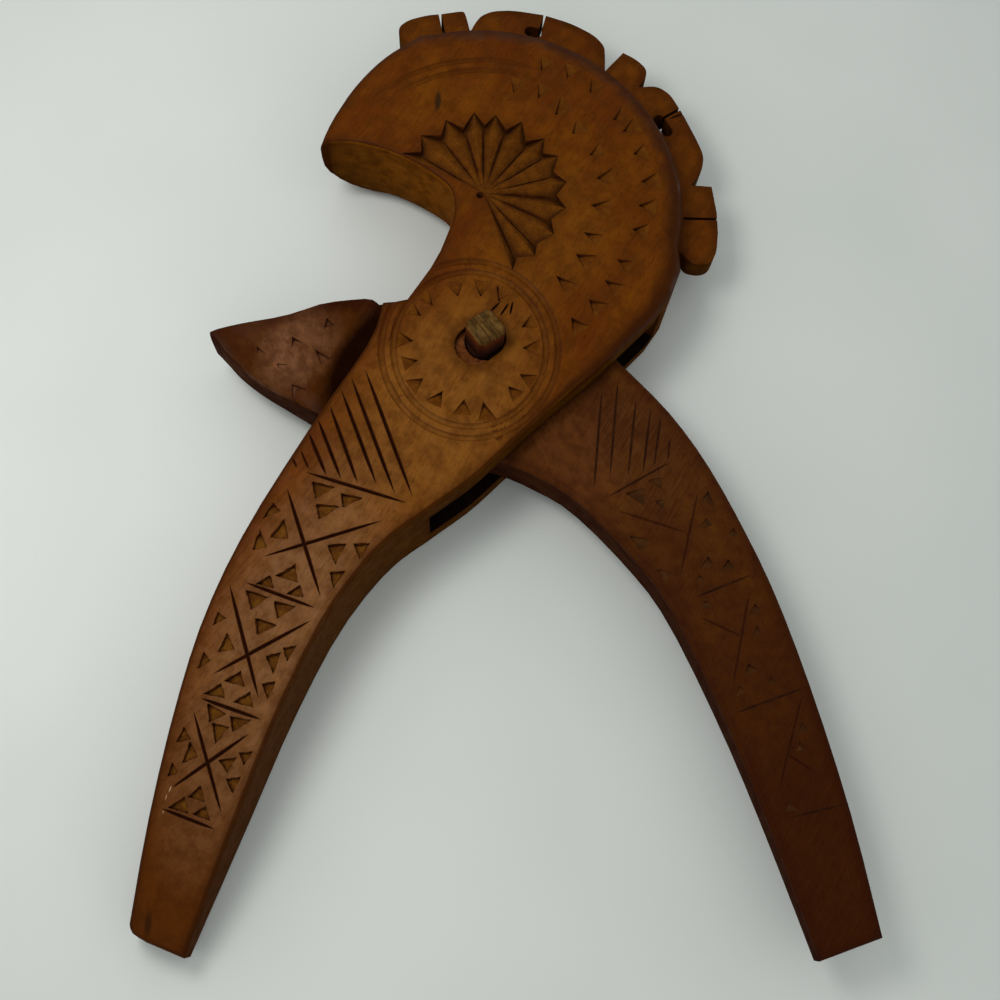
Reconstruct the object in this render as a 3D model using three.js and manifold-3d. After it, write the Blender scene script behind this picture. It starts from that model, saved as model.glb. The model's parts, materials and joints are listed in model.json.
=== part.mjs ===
// Lever nutcracker press, carved in wood like a crested bird's head.
// An upper lever (crescent head, neck with a through slot, left handle) and a lower lever
// (thick jaw, flat tongue, right handle) that swings in the slot on one wooden peg.
// Millimetres, +Z up. The press lies on its flat back, and each piece is drawn round the peg's axis.
import * as THREE from "three";
import { mergeVertices } from "three/addons/utils/BufferGeometryUtils.js";
import Module from "manifold-3d";

const wasm = await Module();
wasm.setup();

// Driving dimensions of the whole press
const boardThickness = 27;
const handleReach = 138;
const handleEndThickness = 11;
const gripRound = 3;
const edgeWear = 1.2;
const overrun = 3;
const quarterTurn = 90;

// Head, mouth and beak of the upper lever
const headRadius = 50;
const headRise = 40;
const rimChamferWidth = 5.5;
const rimChamferDrop = 4;
const roofRoundHeight = 8;
const roofRoundWidth = 5;
const throatRoundHeight = 14;
const throatRoundWidth = 8;
const beakTipLift = 22;
const beakTipLength = 22;
const beakCutWidth = 40;

// Crest fin on the rim
const crestHeight = 12;
const crestThickness = 6;
const crestRoot = 4;
const crestKerf = 0.7;
const crestHoleWidth = 3;

// Slot, tongue and jaw
const slotHeight = 13.4;
const tongueClearance = 0.5;
const tongueThickness = slotHeight - 2 * tongueClearance;
const lowerEndThickness = 8.5;
const jawThickness = 22.5;
const jawOuterThickness = 8.5;
const jawRampLength = 15;
const jawSeam = 0.2;
const slotOverrun = 14;

// Peg and its holes
const pegDiameter = 9;
const pegRight = 0.5;
const pegRise = 1.1;
const pegProud = 6.5;
const pegRecess = 0.6;
const pegSquare = 7.6;
const pegSquareHeight = 8.5;
const pegSquareTurn = 35;
const pegTopChamfer = 0.9;
const pegFit = 0.3;
const pegRunningClearance = 0.5;
const holeWear = 3;
const holeWearTurn = 40;

// Carving on the upper lever's face
const grooveWidth = 0.8;
const grooveDepth = 0.55;
const grooveRaise = 0.5;
const fanRadius = 21.3;
const fanDepth = 0.8;
const fanRidgeDepth = 0.1;
const fanCentreDepth = 0.05;

// Heights that follow from these
const midHeight = boardThickness / 2;
const slotTop = midHeight + slotHeight / 2;
const slotBottom = midHeight - slotHeight / 2;
const tongueTop = midHeight + tongueThickness / 2;
const tongueBottom = midHeight - tongueThickness / 2;
const headCentre = new THREE.Vector2(0, headRise);
const pegAxis = new THREE.Vector2(pegRight, pegRise);

// Edge points as shares of the handles' reach, x then y
const beakTipShare = [-0.295, 0.378];
const beakShares = [[-0.262, 0.466], [-0.212, 0.545], [-0.156, 0.601]];
const mouthShares = [
  [-0.281, 0.388], [-0.242, 0.39], [-0.206, 0.382], [-0.17, 0.372], [-0.115, 0.343],
  [-0.07, 0.309], [-0.056, 0.283], [-0.054, 0.25], [-0.06, 0.222],
];
const throatShares = [[-0.076, 0.177], [-0.093, 0.143], [-0.134, 0.079]];
const shoulderShares = [[0.116, -0.12], [0.192, -0.052], [0.304, 0.062], [0.335, 0.107], [0.354, 0.158]];
const upperLeftShares = [
  [-0.174, 0.075], [-0.196, 0], [-0.283, -0.145], [-0.382, -0.326],
  [-0.443, -0.473], [-0.483, -0.616], [-0.523, -0.8], [-0.553, -0.968],
];
const upperRightShares = [
  [0.036, -0.196], [-0.02, -0.25], [-0.091, -0.304], [-0.163, -0.362],
  [-0.243, -0.471], [-0.317, -0.627], [-0.38, -0.792], [-0.462, -1.004],
];
const lowerRightShares = [
  [0.25, -0.016], [0.325, -0.098], [0.389, -0.193], [0.447, -0.308],
  [0.499, -0.433], [0.551, -0.6], [0.599, -0.79], [0.633, -0.973],
];
const lowerLeftShares = [
  [0.038, -0.199], [0.093, -0.224], [0.162, -0.267], [0.257, -0.368],
  [0.321, -0.461], [0.397, -0.631], [0.461, -0.802], [0.53, -1.008],
];
const tongueUpperShares = [[0.181, 0.051], [0.072, 0.101], [-0.036, 0.116], [-0.12, 0.108]];
const tongueLowerShares = [[-0.22, -0.13], [-0.1, -0.16]];
const jawMouthShares = [
  [-0.478, 0.033], [-0.425, 0.036], [-0.347, 0.051], [-0.275, 0.078], [-0.206, 0.102], [-0.184, 0.093],
];
const jawOuterShares = [
  [-0.479, 0.028], [-0.456, 0.004], [-0.43, -0.024], [-0.386, -0.058], [-0.338, -0.086], [-0.28, -0.118],
];
// The slot's four corners: right end, mouth side, left side, lower end
const slotCornerShares = [[0.32, 0.082], [-0.058, 0.225], [-0.293, -0.163], [-0.088, -0.302]];

// Where each handle's thinning starts and ends, as shares of the reach
const upperTaperShares = [0.5, 1.09];
const lowerTaperShares = [0.3, 1.12];

// Crest outline: degrees round the head's centre, and height as a share of the crest's height
const crestOutlineShares = [
  [113, 0], [113.4, 0.5], [112.2, 0.86], [109, 0.97], [104, 0.98], [100.5, 0.95], [95.2, 0.98], [94.6, 0.9],
  [93.7, 0.42], [92, 0.68], [90.5, 0.85], [87.7, 0.98], [82.8, 1.05], [75, 1.08], [68, 1.08],
  [61.6, 1.03], [57.8, 0.9], [56.2, 0.7], [53.4, 0.36], [52.9, 1], [49.4, 1.05], [45.8, 1.03],
  [44, 0.85], [43.4, 0.55], [40.5, 0.88], [36.8, 0.98], [30.6, 0.92], [23.2, 0.88], [17.7, 0.88],
  [13.5, 0.7], [10.2, 0.4], [9, 0.83], [1.7, 0.85], [-3.8, 0.86], [-9, 0.86], [-12, 0.78],
  [-13.4, 0.6], [-13.6, 0.3], [-11.2, 0.14], [-10.6, -0.1],
];
// Saw kerfs: degrees, and the share of the crest's height where each starts
const crestKerfShares = [[101, 0.42], [74.8, 0.6], [32, 0.5], [0, 0.12]];
// Drilled holes: degrees, share of the height, and length as a share of the height
const crestHoleShares = [[76.4, 0.58, 0.4], [30, 0.38, 0.58]];

// Carved lines on the upper face, as shares of the reach: x and y of one end, then of the other
const barShares = [
  [-0.294, -0.239, -0.124, -0.291], [-0.382, -0.427, -0.266, -0.469],
  [-0.444, -0.611, -0.345, -0.645], [-0.502, -0.778, -0.413, -0.811],
];
const crossShares = [
  [-0.323, -0.266, -0.259, -0.452], [-0.357, -0.385, -0.163, -0.321],
  [-0.407, -0.429, -0.351, -0.614], [-0.427, -0.575, -0.272, -0.488],
  [-0.455, -0.627, -0.404, -0.789], [-0.487, -0.75, -0.363, -0.665],
];
const hatchShares = [
  [-0.201, -0.053, -0.115, -0.281], [-0.224, -0.068, -0.144, -0.277], [-0.24, -0.091, -0.175, -0.26],
  [-0.258, -0.12, -0.206, -0.259], [-0.277, -0.145, -0.234, -0.251], [-0.291, -0.17, -0.259, -0.244],
];
// How far a line's cut stays in from its ends, and how narrow it is there
const grooveEndShare = 0.06;
const grooveTipShare = 0.15;
// Rosette: degrees round the head's centre, and distance of each ridge's tip as a share of the fan's radius
const fanTipShares = [
  [-71, 1], [-53.6, 0.96], [-32.4, 0.93], [-10.4, 0.94], [9.7, 0.95], [30.4, 0.98], [46.1, 1],
  [64.9, 1.03], [82.3, 1.02], [96.2, 1.05], [114.9, 1.03], [134.4, 1.02], [152, 1.05],
];
const fanFluteShare = 0.78;

// Levels of the round under the mouth's roof, as shares of its height
const underLevelShares = [-0.4, 0, 0.12, 0.3, 0.55, 1];
// The jaw's fullness at its tip, and how much of the peg's half side each corner loses
const jawTipShare = 0.6;
const jawFullShare = 0.3;
const pegCornerShare = 0.3;

// Counts
const edgeStations = 20;
const rimSteps = 34;
const mouthSteps = 24;
const beakSteps = 8;
const circleSteps = 24;
const jawRows = 14;
const jawColumns = 6;

// Angles in degrees
const rimStart = -14;
const rimEnd = 110;
const edgeTurns = [0, quarterTurn / 2, quarterTurn];
const upperHandleTurn = -110;
const lowerHandleTurn = -66;
const beakUnderTurn = 35;
const radians = THREE.MathUtils.degToRad;
const atReach = ([xShare, yShare]) => new THREE.Vector2(xShare * handleReach, yShare * handleReach);
const raised = (point, height) => new THREE.Vector3(point.x, point.y, height);
const between = (from, to, share) => from.clone().lerp(to, share);

function polar(centre, radius, degrees) {
  const turn = radians(degrees);
  return new THREE.Vector2(centre.x + radius * Math.cos(turn), centre.y + radius * Math.sin(turn));
}

function arc(centre, radius, from, to, steps) {
  return Array.from({ length: steps + 1 }, (_, step) => (
    polar(centre, radius, from + (to - from) * step / steps)));
}

function edge(shares, steps) {
  return new THREE.SplineCurve(shares.map(atReach)).getPoints(steps);
}

function solid(geometry) {
  const bare = geometry.clone();
  bare.deleteAttribute("normal");
  bare.deleteAttribute("uv");
  const merged = mergeVertices(bare);
  return new wasm.Manifold(new wasm.Mesh({
    numProp: 3,
    vertProperties: new Float32Array(merged.attributes.position.array),
    triVerts: new Uint32Array(merged.index.array),
  }));
}

function solidFrom(points, faces) {
  const geometry = new THREE.BufferGeometry();
  const places = points.flatMap((point) => [point.x, point.y, point.z]);
  geometry.setAttribute("position", new THREE.Float32BufferAttribute(places, 3));
  geometry.setIndex(faces.flat());
  return solid(geometry);
}

function meshFrom(name, body, material) {
  const { vertProperties, triVerts } = body.getMesh();
  const geometry = new THREE.BufferGeometry();
  geometry.setAttribute("position", new THREE.Float32BufferAttribute(vertProperties, 3));
  geometry.setIndex(Array.from(triVerts));
  geometry.computeVertexNormals();
  const mesh = new THREE.Mesh(geometry, material);
  mesh.name = name;
  return mesh;
}

// A closed stack of rings with the same number of points, and caps on its two ends
function stack(rings, capFaces) {
  const count = rings[0].length;
  const faces = [];
  for (let ring = 0; ring + 1 < rings.length; ring += 1) {
    for (let index = 0; index < count; index += 1) {
      const next = (index + 1) % count;
      const low = ring * count;
      const high = low + count;
      faces.push([low + index, low + next, high + next], [low + index, high + next, high + index]);
    }
  }
  const last = (rings.length - 1) * count;
  for (const [a, b, c] of capFaces) {
    faces.push([c, b, a], [last + a, last + b, last + c]);
  }
  return solidFrom(rings.flat(), faces);
}

function prism(outline, bottom, top) {
  const capFaces = THREE.ShapeUtils.triangulateShape(outline, []);
  return stack([bottom, top].map((height) => outline.map((point) => raised(point, height))), capFaces);
}

function cylinder(centre, radius, bottom, top) {
  const geometry = new THREE.CylinderGeometry(radius, radius, top - bottom, circleSteps);
  geometry.rotateX(Math.PI / 2);
  geometry.translate(centre.x, centre.y, (bottom + top) / 2);
  return solid(geometry);
}

function without(body, cutters) {
  return cutters.reduce((left, cutter) => left.subtract(cutter), body);
}

// Outward mitre at each corner of an anticlockwise outline
function mitres(outline) {
  const count = outline.length;
  return outline.map((point, index) => {
    const before = point.clone().sub(outline[(index + count - 1) % count]).normalize();
    const after = outline[(index + 1) % count].clone().sub(point).normalize();
    const outward = new THREE.Vector2(before.y + after.y, -before.x - after.x);
    return outward.divideScalar(1 + Math.max(before.dot(after), 0));
  });
}

// Each value drawn towards its neighbours round the outline
function eased(values) {
  const count = values.length;
  return values.map((value, index) => (
    (values[(index + count - 1) % count] + value + values[(index + 1) % count]) / 3));
}

// A lever's outline: down its left edge, up its right edge, then round the rest of it
function leverOutline(leftEdge, rightEdge, rest) {
  return [...leftEdge, ...rightEdge.toReversed(), ...rest];
}

// Flat strips between paired edge points down the handle, and one polygon for the rest
function leverCap(outline) {
  const last = 2 * edgeStations + 1;
  const faces = [];
  for (let station = 0; station < edgeStations; station += 1) {
    const [a, b, c, d] = [station, station + 1, last - station - 1, last - station];
    faces.push([a, b, c], [a, c, d]);
  }
  const kept = outline.map((_, index) => index).filter((index) => index === 0 || index >= last);
  const polygon = THREE.ShapeUtils.triangulateShape(kept.map((index) => outline[index]), []);
  return [...faces, ...polygon.map((face) => face.map((index) => kept[index]))];
}

// A board with worn edges: each face has a height, an edge width and an edge drop at each point
function wornBoard(outline, under, over) {
  const outward = mitres(outline);
  const ring = (turn, face, side) => outline.map((point, index) => {
    const inset = face.widths[index] * (1 - Math.cos(radians(turn)));
    const drop = face.drops[index] * (1 - Math.sin(radians(turn)));
    return raised(point.clone().addScaledVector(outward[index], -inset), face.heights[index] + side * drop);
  });
  const lower = edgeTurns.toReversed().map((turn) => ring(turn, under, 1));
  const upper = edgeTurns.map((turn) => ring(turn, over, -1));
  return stack([...lower, ...upper], leverCap(outline));
}

// How far down a handle's thinning a point is, from 0 to 1
function thinning(point, turn, [fromShare, toShare]) {
  const down = point.dot(polar(new THREE.Vector2(), 1, turn)) / handleReach;
  return THREE.MathUtils.clamp((down - fromShare) / (toShare - fromShare), 0, 1);
}

// The upper lever thins from its top, because its back is flat
function upperTop(point) {
  const way = thinning(point, upperHandleTurn, upperTaperShares);
  return THREE.MathUtils.lerp(boardThickness, handleEndThickness, way * way);
}

// The lower lever thins evenly on its two faces
function lowerHalf(point) {
  const way = thinning(point, lowerHandleTurn, lowerTaperShares);
  return THREE.MathUtils.lerp(tongueThickness, lowerEndThickness, way) / 2;
}

// A long hole with round ends
function roundEndedCut(centre, width, length, degrees, bottom, top) {
  const half = (length - width) / 2;
  const ends = [polar(centre, half, degrees), polar(centre, -half, degrees)];
  const outline = [
    ...arc(ends[0], width / 2, degrees - quarterTurn, degrees + quarterTurn, circleSteps / 2),
    ...arc(ends[1], width / 2, degrees + quarterTurn, degrees + 3 * quarterTurn, circleSteps / 2),
  ];
  return prism(outline, bottom, top);
}

// The fin with its sawn teeth and drilled holes, standing on the rim at mid thickness
function crest() {
  const bottom = midHeight - crestThickness / 2;
  const top = midHeight + crestThickness / 2;
  const crown = crestOutlineShares.map(([degrees, share]) => (
    polar(headCentre, headRadius + share * crestHeight, degrees)));
  const [firstTurn, lastTurn] = [crestOutlineShares[0][0], crestOutlineShares.at(-1)[0]];
  const root = arc(headCentre, headRadius - crestRoot, firstTurn, lastTurn, rimSteps);
  const fin = prism([...crown.toReversed(), ...root], bottom, top);
  const kerfs = crestKerfShares.map(([degrees, share]) => {
    const inner = headRadius + share * crestHeight;
    const outer = headRadius + crestHeight + overrun;
    const geometry = new THREE.BoxGeometry(outer - inner, crestKerf, crestThickness + 2 * overrun);
    geometry.rotateZ(radians(degrees));
    const centre = polar(headCentre, (inner + outer) / 2, degrees);
    geometry.translate(centre.x, centre.y, midHeight);
    return solid(geometry);
  });
  const holes = crestHoleShares.map(([degrees, share, lengthShare]) => {
    const centre = polar(headCentre, headRadius + share * crestHeight, degrees);
    const [length, turn] = [lengthShare * crestHeight, degrees + quarterTurn];
    return roundEndedCut(centre, crestHoleWidth, length, turn, bottom - overrun, top + overrun);
  });
  return without(fin, [...kerfs, ...holes]);
}

// A knife's V cut along a line on the upper face, deepest in its middle
function grooveCut([fromX, fromY, toX, toY]) {
  const [from, to] = [atReach([fromX, fromY]), atReach([toX, toY])];
  const along = to.clone().sub(from).normalize();
  const aside = new THREE.Vector2(-along.y, along.x);
  const stations = [[grooveEndShare, grooveTipShare], [1 / 2, 1], [1 - grooveEndShare, grooveTipShare]];
  const rings = stations.map(([way, size]) => {
    const point = between(from, to, way);
    const height = upperTop(point);
    const half = (size * grooveDepth + grooveRaise) * grooveWidth / grooveDepth / 2;
    return [
      raised(point, height - size * grooveDepth),
      raised(point.clone().addScaledVector(aside, half), height + grooveRaise),
      raised(point.clone().addScaledVector(aside, -half), height + grooveRaise),
    ];
  });
  return stack(rings, [[0, 1, 2]]);
}

// The rosette: flutes round the head's centre, deepest at their rim, with a ridge to each tip between them
function fanCut() {
  const rim = fanTipShares.flatMap(([degrees, share], index) => {
    const tip = { degrees, share, depth: fanRidgeDepth };
    const next = fanTipShares[index + 1];
    return next ? [tip, { degrees: (degrees + next[0]) / 2, share: fanFluteShare, depth: fanDepth }] : [tip];
  });
  const floor = rim.map(({ degrees, share, depth }) => (
    raised(polar(headCentre, share * fanRadius, degrees), boardThickness - depth)));
  const lower = [raised(headCentre, boardThickness - fanCentreDepth), ...floor];
  const upper = lower.map((point) => point.clone().setZ(boardThickness + overrun));
  const capFaces = rim.slice(1).map((_, index) => [0, index + 1, index + 2]);
  return stack([lower, upper], capFaces);
}

// The round under the mouth's edge, which is larger towards the throat
function mouthUnderCut() {
  const rim = edge(mouthShares, mouthSteps).toReversed();
  const away = [rim.at(-1), rim[0]].map((point) => new THREE.Vector2(-handleReach, point.y));
  const outline = [...rim, ...away];
  const outward = mitres(outline);
  const levels = underLevelShares.map((share) => {
    const bulge = 1 - Math.sqrt(1 - (1 - Math.max(share, 0)) ** 2);
    return outline.map((point, index) => {
      const roofward = Math.min(index / mouthSteps, 1);
      const height = share * THREE.MathUtils.lerp(throatRoundHeight, roofRoundHeight, roofward);
      const width = THREE.MathUtils.lerp(throatRoundWidth, roofRoundWidth, roofward);
      const reach = width * bulge - jawSeam * (1 - bulge);
      return raised(point.clone().addScaledVector(outward[index], reach), height);
    });
  });
  return stack(levels, THREE.ShapeUtils.triangulateShape(outline, []));
}

// The beak's underside curves up to its tip
function beakUnderCut() {
  const tip = atReach(beakTipShare);
  const rise = Array.from({ length: beakSteps + 1 }, (_, step) => {
    const turn = radians(quarterTurn * step / beakSteps);
    return new THREE.Vector2(beakTipLength * (1 - Math.sin(turn)), beakTipLift * (1 - Math.cos(turn)));
  });
  const profile = [
    new THREE.Vector2(-overrun, -overrun), new THREE.Vector2(beakTipLength, -overrun),
    ...rise, new THREE.Vector2(-overrun, beakTipLift),
  ];
  const sides = [beakCutWidth / 2, -beakCutWidth / 2].map((aside) => profile.map((point) => {
    const along = polar(tip, point.x, beakUnderTurn);
    return raised(polar(along, aside, beakUnderTurn + quarterTurn), point.y);
  }));
  return stack(sides, THREE.ShapeUtils.triangulateShape(profile, []));
}

function slotCut() {
  const [rightEnd, mouthSide, leftSide, lowerEnd] = slotCornerShares.map(atReach);
  const past = (from, to) => to.clone().add(to.clone().sub(from).setLength(slotOverrun));
  const corners = [
    past(mouthSide, rightEnd), past(rightEnd, mouthSide), past(lowerEnd, leftSide), past(leftSide, lowerEnd),
  ];
  return prism(corners, slotBottom, slotTop);
}

function pegHoleCuts() {
  const radius = pegDiameter / 2 + pegRunningClearance;
  const worn = polar(pegAxis, -holeWear / 2, holeWearTurn);
  return [
    cylinder(pegAxis, radius, -overrun, midHeight),
    roundEndedCut(worn, 2 * radius, 2 * radius + holeWear, holeWearTurn, midHeight, boardThickness + overrun),
  ];
}

function upperLever() {
  const leftEdge = edge(upperLeftShares, edgeStations);
  const rightEdge = edge(upperRightShares, edgeStations);
  const shoulder = shoulderShares.map(atReach);
  const rim = arc(headCentre, headRadius, rimStart, rimEnd, rimSteps);
  const beak = [...beakShares.toReversed(), beakTipShare].map(atReach);
  const mouth = edge(mouthShares, mouthSteps);
  const throat = throatShares.map(atReach);
  const outline = leverOutline(leftEdge, rightEdge, [...shoulder, ...rim, ...beak, ...mouth, ...throat]);
  const shoulderFrom = 2 * (edgeStations + 1);
  const rimTo = shoulderFrom + shoulder.length + rimSteps;
  const onRim = outline.map((_, index) => index > shoulderFrom + 1 && index <= rimTo);
  const rimWear = (wear) => eased(eased(onRim.map((chamfered) => (chamfered ? wear : edgeWear))));
  const rounds = outline.map((point) => (
    THREE.MathUtils.lerp(edgeWear, gripRound, thinning(point, upperHandleTurn, upperTaperShares))));
  const [widths, drops] = [rimWear(rimChamferWidth), rimWear(rimChamferDrop)];
  const wider = (values) => values.map((value, index) => Math.max(value, rounds[index]));
  const under = { heights: outline.map(() => 0), widths: wider(widths), drops: wider(drops) };
  const over = { heights: outline.map(upperTop), widths, drops };
  const body = wornBoard(outline, under, over).add(crest());
  const carved = [...[...barShares, ...crossShares, ...hatchShares].map(grooveCut), fanCut()];
  return without(body, [slotCut(), ...pegHoleCuts(), mouthUnderCut(), beakUnderCut(), ...carved]);
}

// The jaw: a high wall at the mouth, domed down to a thin outer edge, and a ramp to the tongue
function jaw() {
  const mouthEdge = edge(jawMouthShares, jawRows);
  const outerEdge = edge(jawOuterShares, jawRows);
  const points = [1, -1].flatMap((side) => mouthEdge.flatMap((start, row) => {
    const share = row / jawRows;
    return Array.from({ length: jawColumns + 1 }, (_, column) => {
      const turn = radians(quarterTurn * column / jawColumns);
      const plan = between(start, outerEdge[row], Math.sin(turn));
      const full = Math.sin(radians(quarterTurn * Math.min(share / jawFullShare, 1)));
      const fullness = THREE.MathUtils.lerp(jawTipShare, 1, full);
      const outer = jawOuterThickness / 2;
      const dome = (outer + (jawThickness / 2 - outer) * Math.cos(turn)) * fullness;
      const seat = between(mouthEdge.at(-1), outerEdge.at(-1), Math.sin(turn));
      const ramp = THREE.MathUtils.smoothstep(plan.distanceTo(seat), 0, jawRampLength);
      const half = THREE.MathUtils.lerp(tongueThickness / 2, dome, ramp);
      return raised(plan, midHeight + side * half);
    });
  }));
  const wide = jawColumns + 1;
  const at = (row, column) => row * wide + column;
  const under = points.length / 2;
  const faces = [];
  for (let row = 0; row < jawRows; row += 1) {
    for (let column = 0; column < jawColumns; column += 1) {
      const [a, b] = [at(row, column), at(row, column + 1)];
      const [c, d] = [at(row + 1, column + 1), at(row + 1, column)];
      faces.push([a, b, c], [a, c, d]);
      faces.push([under + c, under + b, under + a], [under + d, under + c, under + a]);
    }
  }
  const round = [
    ...Array.from({ length: jawColumns }, (_, column) => at(0, column)),
    ...Array.from({ length: jawRows }, (_, row) => at(row, jawColumns)),
    ...Array.from({ length: jawColumns }, (_, column) => at(jawRows, jawColumns - column)),
    ...Array.from({ length: jawRows }, (_, row) => at(jawRows - row, 0)),
  ];
  round.forEach((here, index) => {
    const next = round[(index + 1) % round.length];
    faces.push([under + here, under + next, next], [under + here, next, here]);
  });
  return solidFrom(points, faces);
}

function lowerLever() {
  const leftEdge = edge(lowerLeftShares, edgeStations);
  const rightEdge = edge(lowerRightShares, edgeStations);
  const jawEnd = [jawMouthShares.at(-1), jawOuterShares.at(-1)].map(atReach);
  const rest = [...tongueUpperShares.map(atReach), ...jawEnd, ...tongueLowerShares.map(atReach)];
  const outline = leverOutline(leftEdge, rightEdge, rest);
  const onHandle = outline.map((_, index) => index <= 2 * edgeStations + 1);
  const wear = onHandle.map((worn) => (worn ? edgeWear : jawSeam));
  const rounds = outline.map((point, index) => (
    THREE.MathUtils.lerp(wear[index], gripRound, thinning(point, lowerHandleTurn, lowerTaperShares))));
  const halves = outline.map(lowerHalf);
  const under = { heights: halves.map((half) => midHeight - half), widths: rounds, drops: rounds };
  const over = { heights: halves.map((half) => midHeight + half), widths: wear, drops: wear };
  const body = wornBoard(outline, under, over).add(jaw());
  const bore = cylinder(pegAxis, pegDiameter / 2 + pegFit, tongueBottom - overrun, tongueTop + overrun);
  return body.subtract(bore);
}

// A round peg whittled square at its top end
function pivotPeg() {
  const top = boardThickness + pegProud;
  const shoulder = top - pegSquareHeight;
  const corner = pegSquare / 2;
  const clipped = corner * (1 - pegCornerShare);
  const square = [
    [corner, -clipped], [corner, clipped], [clipped, corner], [-clipped, corner],
    [-corner, clipped], [-corner, -clipped], [-clipped, -corner], [clipped, -corner],
  ].map(([x, y]) => new THREE.Vector2(x, y).rotateAround(new THREE.Vector2(), radians(pegSquareTurn)));
  const small = (corner - pegTopChamfer) / corner;
  const levels = [[1, shoulder - pegTopChamfer], [1, top - pegTopChamfer], [small, top]];
  const rings = levels.map(([size, height]) => (
    square.map((point) => raised(point.clone().multiplyScalar(size).add(pegAxis), height))));
  const end = stack(rings, THREE.ShapeUtils.triangulateShape(square, []));
  return cylinder(pegAxis, pegDiameter / 2, pegRecess, shoulder).add(end);
}

const headWood = new THREE.MeshStandardMaterial({ color: 0x7a4418, roughness: 0.55, metalness: 0 });
const handleWood = new THREE.MeshStandardMaterial({ color: 0x552a12, roughness: 0.5, metalness: 0 });
const pegWood = new THREE.MeshStandardMaterial({ color: 0x8a7440, roughness: 0.7, metalness: 0 });

const model = new THREE.Group();
model.add(meshFrom("upper_lever", upperLever(), headWood));
model.add(meshFrom("lower_lever", lowerLever(), handleWood));
model.add(meshFrom("pivot_peg", pivotPeg(), pegWood));

// The origin is under the middle of the whole press
const box = new THREE.Box3().setFromObject(model);
const middle = box.getCenter(new THREE.Vector3());
model.position.set(-middle.x, -middle.y, -box.min.z);

export default model;
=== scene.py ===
# Carved wooden lever nutcracker, dressed for rendering on a pale table
import json
import math
import random

import bpy
from mathutils import Matrix, Vector, noise


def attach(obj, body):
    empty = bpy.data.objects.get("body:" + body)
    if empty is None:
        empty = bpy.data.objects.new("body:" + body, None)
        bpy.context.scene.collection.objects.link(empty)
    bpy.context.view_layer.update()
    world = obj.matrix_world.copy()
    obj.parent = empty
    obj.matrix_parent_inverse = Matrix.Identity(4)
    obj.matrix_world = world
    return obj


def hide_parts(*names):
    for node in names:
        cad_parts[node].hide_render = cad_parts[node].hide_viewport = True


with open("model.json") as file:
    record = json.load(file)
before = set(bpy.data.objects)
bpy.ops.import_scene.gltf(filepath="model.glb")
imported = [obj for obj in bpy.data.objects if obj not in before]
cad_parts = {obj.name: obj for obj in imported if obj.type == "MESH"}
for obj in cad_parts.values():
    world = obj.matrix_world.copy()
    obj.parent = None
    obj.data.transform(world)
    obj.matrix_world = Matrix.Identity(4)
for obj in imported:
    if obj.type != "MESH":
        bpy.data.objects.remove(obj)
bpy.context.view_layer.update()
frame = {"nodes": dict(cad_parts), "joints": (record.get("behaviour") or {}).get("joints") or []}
print("frame loaded:", sorted(frame["nodes"]))

mm = 0.001
dice = random.Random(11)

# The drawing's origin is beside the peg, and most places are shares of the handles' reach
drawing = {
    "reach": 138 * mm,
    "pegAside": Vector((0.5 * mm, 1.1 * mm, 0)),
    "headRise": 40 * mm,
    "headRadius": 50 * mm,
}
hinge = Vector(frame["joints"][0]["pos_m"])
drawingOrigin = hinge - drawing["pegAside"]
headCentre = Vector((drawingOrigin.x, drawingOrigin.y + drawing["headRise"]))


def place(xShare, yShare):
    return drawingOrigin.xy + drawing["reach"] * Vector((xShare, yShare))


def around(centre, degrees, radius):
    turn = math.radians(degrees)
    return centre + radius * Vector((math.cos(turn), math.sin(turn)))


def bearing(aside):
    return math.degrees(math.atan2(aside.y, aside.x))


# Heights of the two carved faces: each handle thins towards its end
upperFace = {"turn": -110, "from": 0.5, "to": 1.09, "thick": 27 * mm, "thin": 11 * mm}
lowerFace = {"turn": -66, "from": 0.3, "to": 1.12, "thick": 12.4 * mm, "thin": 8.5 * mm, "middle": 13.5 * mm}


def wayDown(face, point):
    away = Vector((point[0] - drawingOrigin.x, point[1] - drawingOrigin.y))
    down = away.dot(around(Vector((0, 0)), face["turn"], 1)) / drawing["reach"]
    return min(max((down - face["from"]) / (face["to"] - face["from"]), 0), 1)


def upperTop(point):
    way = wayDown(upperFace, point)
    return upperFace["thick"] + (upperFace["thin"] - upperFace["thick"]) * way * way


def lowerTop(point):
    thickness = lowerFace["thick"] + (lowerFace["thin"] - lowerFace["thick"]) * wayDown(lowerFace, point)
    return lowerFace["middle"] + thickness / 2


def newObject(name, data):
    made = bpy.data.objects.new(name, data)
    bpy.context.scene.collection.objects.link(made)
    return made


# Camera: it stands a little below the press and looks down and up at it, as in the photograph
view = {"place": Vector((-11.45, -104.17, 300)) * mm, "tilt": 17, "pan": 2, "lens": 45, "sensor": 36,
        "picture": 1000, "nearest": 10 * mm}
tilt, pan = math.radians(view["tilt"]), math.radians(view["pan"])
forward = Vector((math.sin(pan), math.sin(tilt) * math.cos(pan), -math.cos(tilt) * math.cos(pan)))
right = forward.cross(Vector((0, 1, 0))).normalized()
up = right.cross(forward)
camera = newObject("camera", bpy.data.cameras.new("camera"))
camera.data.lens = view["lens"]
camera.data.sensor_width = view["sensor"]
camera.data.clip_start = view["nearest"]
camera.matrix_world = Matrix((
    (right.x, up.x, -forward.x, view["place"].x), (right.y, up.y, -forward.y, view["place"].y),
    (right.z, up.z, -forward.z, view["place"].z), (0, 0, 0, 1)))
bpy.context.scene.camera = camera
bpy.context.scene.view_settings.view_transform = "Standard"


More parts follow.
